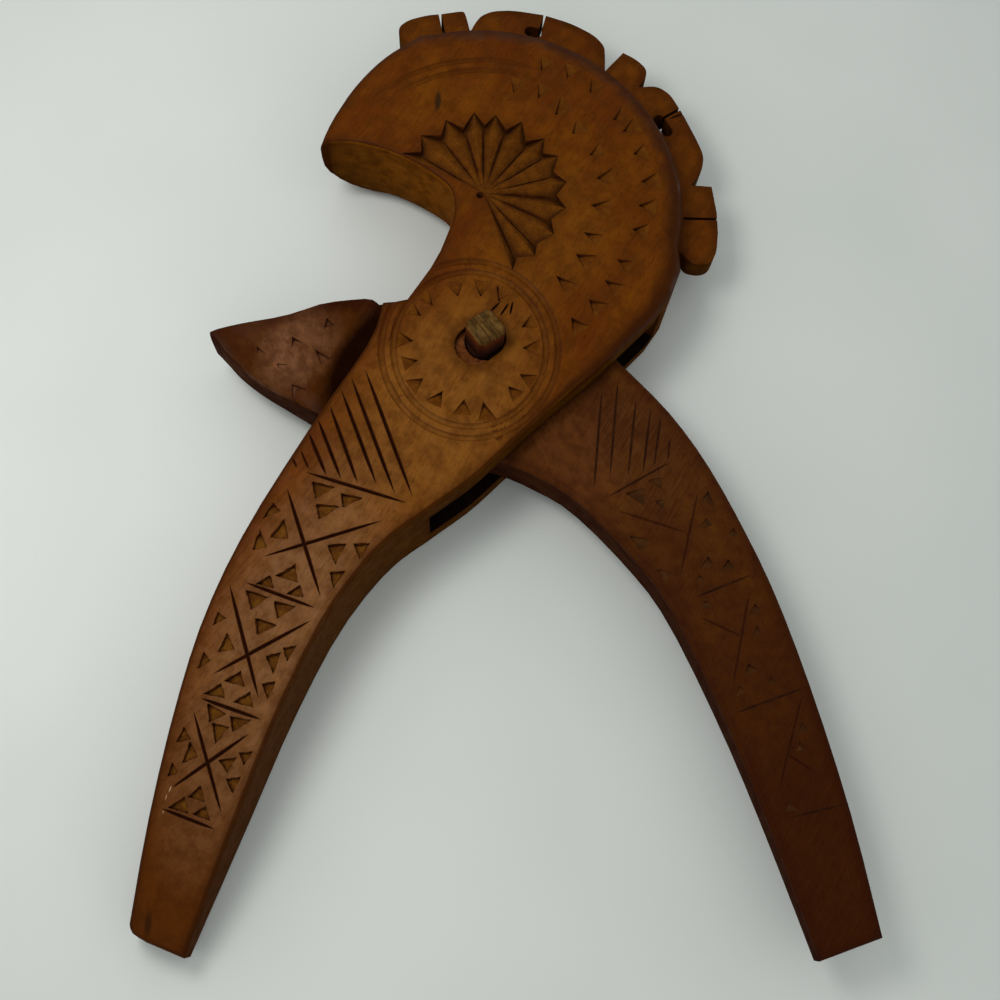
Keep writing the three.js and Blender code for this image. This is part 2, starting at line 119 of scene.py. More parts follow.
def rayAt(pixel):
    # The camera's line of sight through a pixel of the square picture
    scale = view["sensor"] / view["lens"] / view["picture"]
    half = view["picture"] / 2
    return forward + right * (pixel[0] - half) * scale + up * (half - pixel[1]) * scale


def onFace(pixel, top):
    # The place on a carved face that shows at a pixel, settled in a few rounds where the face slopes
    ray = rayAt(pixel)
    spot = drawingOrigin
    for _ in range(8):
        spot = view["place"] + ray * (top(spot) - view["place"].z) / ray.z
    return spot.xy


def onFaceAll(numbers, top):
    # The same for a run of pixels, x and y in turn
    return [onFace(pixel, top) for pixel in zip(numbers[::2], numbers[1::2])]


# Materials

def linear(hexCode):
    parts = [int(hexCode[start:start + 2], 16) / 255 for start in (0, 2, 4)]
    return (*[part / 12.92 if part <= 0.04045 else ((part + 0.055) / 1.055) ** 2.4 for part in parts], 1)


def addNode(tree, kind, inputs=None, **settings):
    made = tree.nodes.new(kind)
    for name, value in settings.items():
        setattr(made, name, value)
    for socket, value in (inputs or {}).items():
        if isinstance(value, bpy.types.NodeSocket):
            tree.links.new(value, made.inputs[socket])
        else:
            made.inputs[socket].default_value = value
    return made


def newTree(name):
    material = bpy.data.materials.new(name)
    material.use_nodes = True
    tree = material.node_tree
    tree.nodes.clear()
    return material, tree, addNode(tree, "ShaderNodeTexCoord").outputs["Object"]


def surface(tree, look, colour, height, soft=None, rough=None):
    # A material's end: its relief, on a softened normal if there is one, its colour and its gloss
    bump = addNode(tree, "ShaderNodeBump", {
        "Height": height, "Strength": look["bump"], "Distance": look["bumpDepth"]})
    if soft:
        tree.links.new(soft, bump.inputs["Normal"])
    shader = addNode(tree, "ShaderNodeBsdfPrincipled", {
        "Base Color": colour, "Roughness": rough or look["roughness"], "Normal": bump.outputs[0],
        "IOR": 1.5, "Specular IOR Level": look["gloss"]})
    addNode(tree, "ShaderNodeOutputMaterial", {"Surface": shader.outputs[0]})


def spotNoise(tree, where, turn, size, detail, low, high):
    # A noise whose spots have a real size in metres, turned to the grain, as a mask from 0 to 1
    onGrain = addNode(tree, "ShaderNodeMapping", {
        "Vector": where, "Rotation": (0, 0, math.radians(turn)), "Scale": size}, vector_type="TEXTURE")
    spots = addNode(tree, "ShaderNodeTexNoise", {
        "Vector": onGrain.outputs[0], "Scale": 1, "Detail": detail, "Roughness": 0.55})
    return addNode(tree, "ShaderNodeMapRange", {
        "Value": spots.outputs["Fac"], "From Min": low, "From Max": high}).outputs["Result"]


def softSpot(tree, where, spotPlace, turn, long, wide):
    # A mask that is 1 in the middle of an oval place and fades to 0 at its edge
    onSpot = addNode(tree, "ShaderNodeMapping", {
        "Vector": where, "Location": spotPlace, "Rotation": (0, 0, math.radians(turn)),
        "Scale": (long, wide, max(long, wide))}, vector_type="TEXTURE")
    ball = addNode(tree, "ShaderNodeTexGradient", {"Vector": onSpot.outputs[0]}, gradient_type="SPHERICAL")
    return addNode(tree, "ShaderNodeMapRange", {
        "Value": ball.outputs["Fac"], "From Min": 0, "From Max": 0.5}).outputs["Result"]


def layer(tree, colour, code, mask, strength=1, low=0, high=1):
    # A second colour over the first, as strong as the mask's way from low to high
    share = addNode(tree, "ShaderNodeMapRange", {
        "Value": mask, "From Min": low, "From Max": high, "To Max": strength}).outputs["Result"]
    return addNode(tree, "ShaderNodeMix", {0: share, 6: colour, 7: linear(code)}, data_type="RGBA").outputs[2]


def markAndPaintedLight(tree, where, colour, spot):
    # A soft-edged mark at one place on the wood, such as a knot; it also paints patches of sheen and shade
    spotPlace, turn, (long, wide), code, strength = spot
    return layer(tree, colour, code, softSpot(tree, where, spotPlace, turn, long, wide), strength)


def lowAt(pixel, top):
    spot = onFace(pixel, top)
    return spot.x, spot.y, top(spot)


# Stained pear, planed, sanded across and rubbed with oil: the stain is uneven and golden where it is thin,
# the edges are redder and darker from hands and painted darker still where they turn down, as painted shade,
# paler patches are painted where the oil shows sheen, and the gloss is low and broad
headLook = {
    "main": "582703", "light": "6a3703", "dark": "452002", "grimeAndShade": "240d02", "rubbed": "80521e",
    "red": "391802", "rim": 0.85, "edge": 0.5 * mm, "redEdge": 5.5 * mm,
    "grainTurn": 62, "sandTurn": 52, "sanded": 0.07, "bared": 0.34, "roughness": 0.42, "gloss": 0.03,
    "bump": 0.4, "bumpDepth": 0.07 * mm, "far": "5f2e05", "farTurn": -110, "farFrom": 0.1, "farTo": 0.5,
    "bare": (lowAt((284, 635), upperTop), 68, 62 * mm, 20 * mm),  # where the hand's rubbing shows in streaks
    # Paler patches painted where the oiled wood shows its sheen: painted sheen
    "paintedLightAreas": [
        (lowAt((276, 655), upperTop), 68, (58 * mm, 18 * mm), "89603f", 0.7),  # the handle, painted pale as its sheen
        (lowAt((440, 405), upperTop), 60, (42 * mm, 24 * mm), "88571f", 0.6),  # and the neck above it
        (lowAt((545, 235), upperTop), 60, (26 * mm, 18 * mm), "74430a", 0.5),  # the head's middle
    ],
    "spots": [
        (lowAt((438, 101), upperTop), 86, (3.6 * mm, 1 * mm), "241a0a", 0.85),  # a small knot in the head
        (lowAt((148, 924), upperTop), 84, (3.4 * mm, 1 * mm), "2a1504", 0.75),  # a mark at the handle's end
        (lowAt((166, 797), upperTop), 78, (0.8 * mm, 0.14 * mm), "b8926e", 0.6),  # scratches to bare wood
        (lowAt((170, 789), upperTop), 70, (0.9 * mm, 0.14 * mm), "c9a98c", 0.65),
        (lowAt((163, 812), upperTop), 82, (0.6 * mm, 0.14 * mm), "b8926e", 0.5),
    ],
}
handleLook = dict(
    headLook, main="462207", light="542d08", dark="351404", grimeAndShade="180502", rubbed="6b4526",
    red="2a0802", rim=0.15, redEdge=6 * mm, grainTurn=118, sandTurn=60, sanded=0.05, bared=0.2,
    far="361300", farTurn=-66, farFrom=0.25, farTo=0.75,
    bare=(lowAt((640, 450), lowerTop), 118, 24 * mm, 14 * mm),
    # Painted sheen on the jaw and on the handle near the neck
    paintedLightAreas=[(lowAt((300, 352), lowerTop), 52, (15 * mm, 9 * mm), "835639", 0.65),
           (lowAt((565, 440), lowerTop), 118, (26 * mm, 12 * mm), "643616", 0.5)],
    # A dark streak painted in the hollow behind the jaw: painted shade
    spots=[(lowAt((357, 354), lowerTop), 62, (22 * mm, 5.6 * mm), "140401", 0.95)])
# The hollow behind the jaw catches no light
coveLook = dict(handleLook, roughness=0.75, gloss=0.01)
# The sides and the underside were only sawn and rubbed: dull, darker wood
headSideLook = dict(
    headLook, main="4c2a04", light="5d3606", dark="381d03", rubbed="6a4218", rim=0, far="432413",
    roughness=0.75, gloss=0.01, spots=[],
    # A paler patch painted on the mouth's wall where light falls on it: painted light
    paintedLightAreas=[(lowAt((425, 215), upperTop), 130, (36 * mm, 26 * mm), "7d460a", 0.85)])
handleSideLook = dict(
    handleLook, main="35180a", light="43230f", dark="250f05", rubbed="573726", rim=0, far="35180a",
    roughness=0.75, gloss=0.01, paintedLightAreas=[])
# Each pattern's turn, the length and width of its spots, its detail, and the noise where its mask is 0 and 1
woodPattern = {
    "mottle": ("grainTurn", 19.8 * mm, 9 * mm, 4, 0.38, 0.66),
    "grain": ("grainTurn", 14 * mm, 0.8 * mm, 3, 0.4, 0.66),
    "pores": ("grainTurn", 1.6 * mm, 0.24 * mm, 1, 0.6, 0.74),
    "sanding": ("sandTurn", 7 * mm, 0.34 * mm, 2, 0.42, 0.64),
    "blotch": (None, 3.2 * mm, 3.2 * mm, 5, 0.42, 0.62),
    "dents": (None, 8 * mm, 8 * mm, 2, 0.3, 0.7),
}
# How strong each layer is, and for some the values where it begins and is full
woodLayer = {"far": 0.8, "blotch": 0.5, "grain": 0.2, "pores": 0.4, "edge": (0.85, 0.985, 0.8),
             "rim": (0.995, 0.87), "corners": (0.7, 0.9, 0.4), "cornerReach": 1.4 * mm}
# The dents' bump, what sanding and pores add to the fine bump, and how far the roughness wanders
woodRelief = {"dentBump": 0.8, "dentDepth": 0.5 * mm, "sanding": 0.7, "pores": -0.8,
              "smoothest": -0.04, "roughest": 0.12}


def stainedWood(name, look):
    material, tree, where = newTree(name)
    masks = {kind: spotNoise(tree, where, look.get(turn, 0), (long, wide, wide), *values)
             for kind, (turn, long, wide, *values) in woodPattern.items()}
    colour = layer(tree, linear(look["main"]), look["light"], masks["mottle"])
    away = around(Vector((0, 0)), look["farTurn"], 1)
    down = addNode(tree, "ShaderNodeVectorMath", {0: where, 1: (away.x, away.y, 0)}, operation="DOT_PRODUCT")
    colour = layer(tree, colour, look["far"], down.outputs["Value"], woodLayer["far"],
                   look["farFrom"] * drawing["reach"], look["farTo"] * drawing["reach"])
    # Paler patches painted where light falls on the wood and its sheen shows: painted light
    for area in look["paintedLightAreas"]:
        colour = markAndPaintedLight(tree, where, colour, area)
    colour = layer(tree, colour, look["dark"], masks["blotch"], woodLayer["blotch"])
    colour = layer(tree, colour, look["dark"], masks["grain"], woodLayer["grain"])
    # The sanding shows a little everywhere, and in streaks where a hand has rubbed the stain away
    bare = softSpot(tree, where, *look["bare"])
    streaks = addNode(tree, "ShaderNodeMath", {
        0: bare, 1: look["bared"], 2: look["sanded"]}, operation="MULTIPLY_ADD").outputs[0]
    rubbed = addNode(tree, "ShaderNodeMath", {0: masks["sanding"], 1: streaks}, operation="MULTIPLY")
    colour = layer(tree, colour, look["rubbed"], rubbed.outputs[0])
    colour = layer(tree, colour, look["grimeAndShade"], masks["pores"], woodLayer["pores"])
    # Edges are red from hands in a band where the rounded normal leaves the flat one, and painted darker
    # where the face turns down: painted shade
    flat = addNode(tree, "ShaderNodeNewGeometry").outputs["Normal"]
    broad = addNode(tree, "ShaderNodeBevel", {"Radius": look["redEdge"]}, samples=4).outputs[0]
    alike = addNode(tree, "ShaderNodeVectorMath", {0: broad, 1: flat}, operation="DOT_PRODUCT")
    upright = addNode(tree, "ShaderNodeSeparateXYZ", {"Vector": flat}).outputs["Z"]
    colour = layer(tree, colour, look["red"], alike.outputs["Value"], *woodLayer["edge"])
    colour = layer(tree, colour, look["red"], upright, look["rim"], *woodLayer["rim"])
    for spot in look["spots"]:
        colour = markAndPaintedLight(tree, where, colour, spot)
    # Grime and painted shade in the corners of the carving, darker where the wood closes in
    hollow = addNode(tree, "ShaderNodeAmbientOcclusion", {"Distance": woodLayer["cornerReach"]}, samples=8)
    colour = layer(tree, colour, look["grimeAndShade"], hollow.outputs["AO"], *woodLayer["corners"])
    rough = addNode(tree, "ShaderNodeMapRange", {
        "Value": masks["blotch"], "To Min": look["roughness"] + woodRelief["smoothest"],
        "To Max": look["roughness"] + woodRelief["roughest"]})
    soft = addNode(tree, "ShaderNodeBevel", {"Radius": look["edge"]}, samples=6).outputs[0]
    uneven = addNode(tree, "ShaderNodeBump", {
        "Height": masks["dents"], "Strength": woodRelief["dentBump"], "Distance": woodRelief["dentDepth"],
        "Normal": soft})
    sunk = addNode(tree, "ShaderNodeMath", {0: masks["pores"], 1: woodRelief["pores"]}, operation="MULTIPLY")
    fine = addNode(tree, "ShaderNodeMath", {
        0: masks["sanding"], 1: woodRelief["sanding"], 2: sunk.outputs[0]}, operation="MULTIPLY_ADD")
    surface(tree, look, colour, fine.outputs[0], uneven.outputs[0], rough.outputs["Result"])
    return material


# The knife's cuts: torn, unsanded wood with thin stain, golden on the floors, and painted nearly black on the
# walls and in the grooves as painted shade
cutLook = {
    "tornTurn": 50, "torn": (1 * mm, 0.35 * mm, 0.35 * mm), "tornStrength": 0.4,
    "patch": (2.6 * mm, 2.6 * mm, 2.6 * mm), "grimeAndShadeStrength": 0.8,
    "bump": 0.6, "bumpDepth": 0.12 * mm, "roughness": 0.75, "gloss": 0.05,
}


def cutWood(name, main, light, grimeAndShade, reach=1.1 * mm, opened=0.75, closed=0.3):
    # Grime and painted shade gather where the openness falls from opened to closed
    material, tree, where = newTree(name)
    torn = spotNoise(tree, where, cutLook["tornTurn"], cutLook["torn"], 3, 0.35, 0.65)
    patch = spotNoise(tree, where, 0, cutLook["patch"], 2, 0.4, 0.6)
    colour = layer(tree, linear(main), light, patch)
    colour = layer(tree, colour, grimeAndShade, torn, cutLook["tornStrength"])
    hollow = addNode(tree, "ShaderNodeAmbientOcclusion", {"Distance": reach}, samples=8).outputs["AO"]
    colour = layer(tree, colour, grimeAndShade, hollow, cutLook["grimeAndShadeStrength"], opened, closed)
    surface(tree, cutLook, colour, torn)
    return material


headWood = stainedWood("stainedHeadWood", headLook)
handleWood = stainedWood("stainedHandleWood", handleLook)
coveWood = stainedWood("stainedCoveWood", coveLook)
lineWood = stainedWood("stainedLineWood",
                       dict(headLook, main="512402", light="633403", red="421a02", rim=0.1))
headSideWood = stainedWood("sawnHeadSideWood", headSideLook)
handleSideWood = stainedWood("sawnHandleSideWood", handleSideLook)
cutFloor = cutWood("carvedFloorWood", "58310a", "6c420f", "351a06")
nickFloor = cutWood("carvedNickWood", "592d04", "673907", "3a1c04")
# The walls and grooves are painted nearly black: painted shade
shadedCutWall = cutWood("carvedWallShadedWood", "421c05", "522807", "1c0903")
shadedGrooveWood = cutWood("carvedGrooveShadedWood", "361503", "421c05", "140502")
# The rosette's flutes darken over a wide reach: grime and painted shade in its hollows
fanWood = cutWood("carvedFanWood", "5d3104", "6c3c06", "2f1503", 3 * mm, 0.96, 0.6)
wornFloor = cutWood("wornFloorWood", "3c2009", "4a2a0d", "200d03")
# The worn walls are painted darker than their floors: painted shade
shadedWornWall = cutWood("wornWallShadedWood", "33170a", "40200c", "1c0a04")
# The nail hole and the cracks are dark inside: grime and painted shade
holeGrimeAndShade = cutWood("holeGrimeAndShadeWood", "3c1b0a", "55290f", "1a0803")
# Painted shade: the slot's inside is nearly black
slotShade = cutWood("slotShadeWood", "0d0401", "160702", "050201")
crumbWood = cutWood("packedCrumbWood", "6a3817", "7e4824", "2a1006", 0.5 * mm, 0.6, 0.2)


# The peg is bare, split end grain, yellow grey on top with dark rings, and oily lower down, where it is also
# painted darker as the shade in its hole
pegLook = {
    "main": "53370f", "light": "745426", "dark": "30200a", "side": "532208", "deep": "2a1006",
    "ringTurn": 128, "ring": (7 * mm, 0.55 * mm, 20 * mm), "ringStrength": 0.75,
    "fibre": (0.25 * mm, 0.25 * mm, 0.6 * mm), "fibreStrength": 0.5, "patch": (2.4 * mm, 2.4 * mm, 2.4 * mm),
    "topHeight": 33 * mm, "sideHeight": 32.2 * mm, "deepHeight": 28 * mm,
    "ringBump": 0.8, "bump": 0.7, "bumpDepth": 0.15 * mm, "edge": 0.5 * mm, "roughness": 0.7, "gloss": 0.08,
}


def pegMaterial(look):
    material, tree, where = newTree("splitPegWood")
    rings = spotNoise(tree, where, look["ringTurn"], look["ring"], 2, 0.45, 0.6)
    fibres = spotNoise(tree, where, 0, look["fibre"], 2, 0.4, 0.65)
    patch = spotNoise(tree, where, 0, look["patch"], 2, 0.4, 0.6)
    height = addNode(tree, "ShaderNodeSeparateXYZ", {"Vector": where}).outputs["Z"]
    colour = layer(tree, linear(look["main"]), look["light"], patch)
    colour = layer(tree, colour, look["dark"], rings, look["ringStrength"])
    colour = layer(tree, colour, look["dark"], fibres, look["fibreStrength"])
    colour = layer(tree, colour, look["side"], height, 1, look["topHeight"], look["sideHeight"])
    # Painted shade: darker again below the lever's face, inside the peg's hole
    colour = layer(tree, colour, look["deep"], height, 1, look["sideHeight"], look["deepHeight"])
    split = addNode(tree, "ShaderNodeMath", {
        0: rings, 1: look["ringBump"], 2: fibres}, operation="MULTIPLY_ADD")
    soft = addNode(tree, "ShaderNodeBevel", {"Radius": look["edge"]}, samples=6).outputs[0]
    surface(tree, look, colour, split.outputs[0], soft)
    return material


pegWood = pegMaterial(pegLook)
print("materials made:", len(bpy.data.materials))


# Modelling helpers

def only(piece):
    bpy.ops.object.select_all(action="DESELECT")
    piece.select_set(True)
    bpy.context.view_layer.objects.active = piece


def edit():
    bpy.ops.object.mode_set(mode="EDIT")


def editFaces(piece):
    only(piece)
    edit()
    bpy.ops.mesh.select_mode(type="FACE")


def objectMode():
    bpy.ops.object.mode_set(mode="OBJECT")


def turnOutwards():
    bpy.ops.mesh.select_all(action="SELECT")
    bpy.ops.mesh.normals_make_consistent(inside=False)
    objectMode()


def selectFaces(piece, wanted):
    # Selection by each face's middle and normal, made outside edit mode
    for part in (*piece.data.edges, *piece.data.vertices):
        part.select = False
    for face in piece.data.polygons:
        face.select = wanted(face)
        if face.select:
            for index in face.vertices:
                piece.data.vertices[index].select = True


def copyOfNode(node, name, materials):
    piece = newObject(name, frame["nodes"][node].data.copy())
    piece.data.name = name
    piece.data.materials.clear()
    for material in materials:
        piece.data.materials.append(material)
    only(piece)
    bpy.ops.mesh.customdata_custom_splitnormals_clear()
    edit()
    bpy.ops.mesh.select_all(action="SELECT")
    bpy.ops.mesh.remove_doubles(threshold=0.001 * mm)
    objectMode()
    bpy.ops.object.shade_smooth_by_angle(angle=math.radians(50))
    return piece


# The knife's cuts are made once as tools on a unit triangle or line, with the face of the wood at height 0

toolShape = {"lift": 0.5, "recessFloor": 0.86, "raggedCuts": 4, "nickDeep": 0.74,
             "grooveSteps": 12, "keel": 0.97, "fade": 3.5}


def unitTriangle(height, floorRadius, topRadius):
    # A three-sided block from the floor at -1 to above the wood
    bpy.ops.mesh.primitive_cone_add(vertices=3, radius1=floorRadius, radius2=topRadius, depth=1 + height,
                                    location=(0, 0, (height - 1) / 2))
    tool = bpy.context.active_object
    bpy.ops.object.transform_apply()
    return tool


def recessTool():
    # The flank's edges are cut up, so that shaking their points gives a ragged outline
    lift = toolShape["lift"]
    slope = 1 - toolShape["recessFloor"]
    tool = unitTriangle(lift, toolShape["recessFloor"], 1 + slope * lift)
    tool.name = "recessTool"
    edit()
    bpy.ops.mesh.select_all(action="SELECT")
    bpy.ops.mesh.subdivide(number_cuts=toolShape["raggedCuts"])
    objectMode()
    tool.data.materials.append(shadedCutWall)
    tool.data.materials.append(cutFloor)
    for face in tool.data.polygons:
        face.material_index = 1 if face.normal.z < -0.9 else 0
    return tool


def nickTool():
    # Deep under the triangle's point, with two steep walls and a floor that rises to its base
    lift = toolShape["lift"]
    tool = unitTriangle(lift, 0, 1 + lift)
    tool.name = "nickTool"
    for vertex in tool.data.vertices:
        vertex.co.y += -toolShape["nickDeep"] * vertex.co.z
    tool.data.materials.append(shadedCutWall)
    tool.data.materials.append(cutFloor)
    tool.data.update()
    for face in tool.data.polygons:
        face.material_index = 1 if face.normal.z < 0 and face.normal.y < -0.1 else 0
    return tool


def grooveTool():
    # A V from end to end of a unit line, whose keel sinks in the middle and meets the face at both ends.
    # The triangle's point is at -1 and its base at 1, and it is made as wide at the face as the line is long
    steps = toolShape["grooveSteps"]
    bpy.ops.mesh.primitive_circle_add(vertices=3, radius=4 / 3, fill_type="NGON", location=(-1, 0, 1 / 3),
                                      rotation=(-math.pi / 2, 0, math.pi / 2))
    tool = bpy.context.active_object
    tool.name = "grooveTool"
    bpy.ops.object.transform_apply()
    for vertex in tool.data.vertices:
        vertex.co.y *= math.sqrt(3)
    sink = [toolShape["keel"] * (1 - abs(2 * step / steps - 1) ** toolShape["fade"])
            for step in range(steps + 1)]
    for vertex in tool.data.vertices:
        vertex.co.z += 1 - sink[0]
    edit()
    bpy.ops.mesh.select_all(action="SELECT")
    for step in range(steps):
        onwards = (2 / steps, 0, sink[step] - sink[step + 1])
        bpy.ops.mesh.extrude_region_move(TRANSFORM_OT_translate={"value": onwards})
    turnOutwards()
    tool.data.materials.append(shadedGrooveWood)
    return tool


tools = {"recess": recessTool(), "nick": nickTool(), "groove": grooveTool()}


def laidOn(tool, matrix, top, shake, materials):
    # A copy of a tool with its own mesh, laid along the face of the wood
    cutter = newObject(tool.name + "Cut", tool.data.copy())
    cutter.data.transform(matrix)
    for vertex in cutter.data.vertices:
        jitter = Vector([dice.uniform(-shake, shake) for _ in range(3)])
        vertex.co += jitter + Vector((0, 0, top(vertex.co)))
    if matrix.determinant() < 0:
        cutter.data.flip_normals()
    for index, material in enumerate(materials):
        cutter.data.materials[index] = material
    return cutter


def laidAlong(along, aside, depth, middle):
    return Matrix((
        (along.x, aside.x, 0, middle.x), (along.y, aside.y, 0, middle.y), (0, 0, depth, 0), (0, 0, 0, 1)))


def triangleCut(kind, corners, depth, top, materials, shake, tilt=0):
    # A tilted cut is deeper towards the upper left, where the knife went in
    point, left, right = corners
    centre = (point + left + right) / 3
    lean = Vector((tilt, -tilt))
    matrix = laidAlong((right - left) / math.sqrt(3), point - centre, depth, centre)
    return laidOn(tools[kind], matrix, lambda spot: top(spot) + lean.dot(spot.xy - centre), shake, materials)


def grooveCut(first, last, width, depth, top, material):
    middle = (first + last) / 2
    along = (last - first) / 2
    aside = Vector((-along.y, along.x)).normalized() * width / 2
    return laidOn(tools["groove"], laidAlong(along, aside, depth, middle), top, 0, [material])


def carve(piece, cutters, label):
    # All cutters of one kind are taken out of the piece in one Boolean
    tray = bpy.data.collections.new(label)
    bpy.context.scene.collection.children.link(tray)
    for cutter in cutters:
        bpy.context.scene.collection.objects.unlink(cutter)
        tray.objects.link(cutter)
    only(piece)
    knife = piece.modifiers.new(label, "BOOLEAN")
    knife.operation = "DIFFERENCE"
    knife.operand_type = "COLLECTION"
    knife.collection = tray
    knife.solver = "MANIFOLD"
    knife.material_mode = "TRANSFER"
    bpy.ops.object.modifier_apply(modifier=label)
    for cutter in cutters:
        bpy.data.objects.remove(cutter)
    bpy.data.collections.remove(tray)
    print(label, len(cutters), "cuts,", len(piece.data.polygons), "faces")


# Upper lever: head, neck with the slot, and the left handle

cuts = {
    # Lines as shares of the reach, from end to end
    "bars": [(-0.294, -0.239, -0.124, -0.291), (-0.382, -0.427, -0.266, -0.469),
             (-0.444, -0.611, -0.345, -0.645), (-0.502, -0.778, -0.413, -0.811)],
    "downCrosses": [
        (-0.323, -0.266, -0.259, -0.452), (-0.407, -0.429, -0.351, -0.614), (-0.455, -0.627, -0.404, -0.789),
    ],
    "upCrosses": [
        (-0.357, -0.385, -0.163, -0.321), (-0.427, -0.575, -0.272, -0.488), (-0.487, -0.75, -0.363, -0.665),
    ],
    "hatch": [
        (-0.201, -0.053, -0.115, -0.281), (-0.224, -0.068, -0.144, -0.277), (-0.24, -0.091, -0.175, -0.26),
        (-0.258, -0.12, -0.206, -0.259), (-0.277, -0.145, -0.234, -0.251), (-0.291, -0.17, -0.259, -0.244),
    ],
    "shortHatch": [(-0.303, -0.201, -0.288, -0.234), (-0.317, -0.213, -0.308, -0.231)],
    "shortWidth": 0.55 * mm, "shortDepth": 0.35 * mm,
    "grooveWidth": 0.9 * mm, "grooveDepth": 0.66 * mm, "grooveVary": (0.95, 1.1),
    # Corners of each chip, x and y in turn, by the pixels where the photograph shows them
    "chipPixels": [
        (312, 482, 336, 487, 315, 499), (341, 493, 364, 498, 342, 508), (316, 504, 341, 506, 319, 520),
        (328, 545, 347, 543, 335, 565), (354, 544, 370, 543, 360, 560), (330, 572, 346, 571, 333, 589),
        (295, 564, 299, 583, 276, 576), (270, 575, 275, 589, 256, 584), (300, 585, 304, 598, 286, 594),
        (246, 590, 269, 597, 251, 610), (274, 601, 297, 606, 277, 619), (255, 618, 278, 625, 257, 635),
        (266, 656, 281, 652, 273, 675), (283, 648, 297, 645, 287, 662), (262, 684, 276, 681, 268, 700),
        (241, 671, 245, 687, 224, 681), (221, 683, 226, 699, 204, 694), (250, 692, 254, 708, 233, 702),
        (207, 703, 227, 714, 209, 723), (230, 716, 252, 720, 232, 732), (212, 723, 230, 727, 215, 744),
        (219, 760, 237, 757, 227, 774), (239, 753, 253, 751, 244, 766), (226, 779, 241, 777, 232, 794),
        (201, 785, 205, 803, 188, 797), (185, 796, 189, 814, 168, 808), (206, 806, 210, 821, 192, 814),
    ],
    "softChipPixels": [
        (273, 503, 281, 511, 262, 519), (284, 519, 289, 540, 270, 537), (260, 530, 267, 547, 252, 550),
        (218, 612, 226, 618, 213, 625), (227, 633, 235, 650, 218, 652), (204, 652, 211, 661, 197, 669),
        (184, 727, 191, 739, 176, 743), (190, 742, 199, 758, 182, 763), (172, 762, 178, 773, 167, 777),
    ],
    "chipDepth": 0.85 * mm, "softChipDepth": 0.65 * mm, "chipShake": 0.15 * mm, "chipTilt": 0.12,
    # Nicks: degrees round the head's centre, and distance as a share of the head's radius
    "outerRow": [
        (68, 0.772), (58, 0.793), (47.5, 0.797), (33.5, 0.783), (27.4, 0.79), (17.6, 0.785), (6.2, 0.788),
        (-3.8, 0.766), (-14.1, 0.753), (-28.2, 0.739), (-38.2, 0.75), (-48, 0.762), (-57.5, 0.785),
    ],
    "innerRow": [
        (75.7, 0.596), (63.6, 0.615), (51.7, 0.579), (37.9, 0.562), (23.3, 0.573), (9.8, 0.567),
        (-6, 0.529), (-22.6, 0.534), (-35.8, 0.557), (-51.4, 0.565),
    ],
    "nickLength": 4.6 * mm, "nickWidth": 4.8 * mm, "nickDepth": 1.05 * mm, "nickShake": 0.12 * mm,
    "nickTurn": (-8, 8), "nickVary": (0.8, 1.1),
    # The ring of nicks between two worn lines round the peg, and the two scribed arcs on the head
    "ringNickPixels": [
        (418, 360), (424, 378), (442, 391), (464, 399), (483, 402), (508, 386), (519, 374), (522, 348),
        (521, 327), (498, 301), (480, 297), (458, 297), (433, 306), (421, 316), (414, 341),
    ],
    "ringVary": (0.8, 1), "ringDepthVary": (0.7, 1), "ringCentre": (-3.1 * mm, -1.5 * mm),
    "ringSize": (42 * mm, 45.6 * mm), "ringInset": 2.9 * mm, "ringWidth": 1.9 * mm, "ringDepth": 0.65 * mm,
    "scribedShares": [0.77, 0.71], "scribedFrom": 66, "scribedTo": 138,
    "scribedWidth": 1.8 * mm, "scribedDepth": 0.55 * mm,
    "waverMiddle": 0.8, "waver": 0.4, "waverLength": 8 * mm, "lineSteps": 120,
    # Rosette: each ridge's tip by degrees and share of the fan's radius, and each flute's deep end by its
    # share of the way from tip to tip and of the radius
    "fanTips": [
        (152, 1.05), (134.4, 1.02), (114.9, 1.03), (96.2, 1.05), (82.3, 1.02), (64.9, 1.03), (46.1, 1.0),
        (30.4, 0.98), (9.7, 0.95), (-10.4, 0.94), (-32.4, 0.93), (-53.6, 0.96), (-71, 1.0),
    ],
    "fanFlutes": [
        (0.46, 0.875), (0.55, 0.878), (0.5, 0.868), (0.5, 0.88), (0.55, 0.865), (0.53, 0.83), (0.5, 0.856),
        (0.5, 0.84), (0.5, 0.82), (0.55, 0.82), (0.64, 0.86), (0.66, 0.88),
    ],
    "fanRadius": 22 * mm, "fanDepth": 1.9 * mm, "fanVary": (0.9, 1.1), "fanBold": 1.4, "fanOver": 3 * mm,
    "fanRidgeDepth": 0.16 * mm, "fanCentreDepth": 0.08 * mm,
    "creaseReach": (0.22, 0.97), "creaseWidth": 0.5 * mm, "creaseDepth": 0.34 * mm, "creaseLift": 0.95,
    "creaseAside": (-1.5, 1.5),
    "nailAside": (-0.9 * mm, -0.6 * mm), "nailPoint": 0.6 * mm, "nailMouth": 1.3 * mm, "nailDepth": 1.6 * mm,
    "crackPixels": [(497, 285, 500, 303), (500, 302, 489, 313), (509, 303, 500, 316), (513, 301, 510, 315)],
    "crestCrackPixels": (669, 119, 685, 113), "crackWidth": 0.5 * mm, "crackDepth": 0.8 * mm,
}
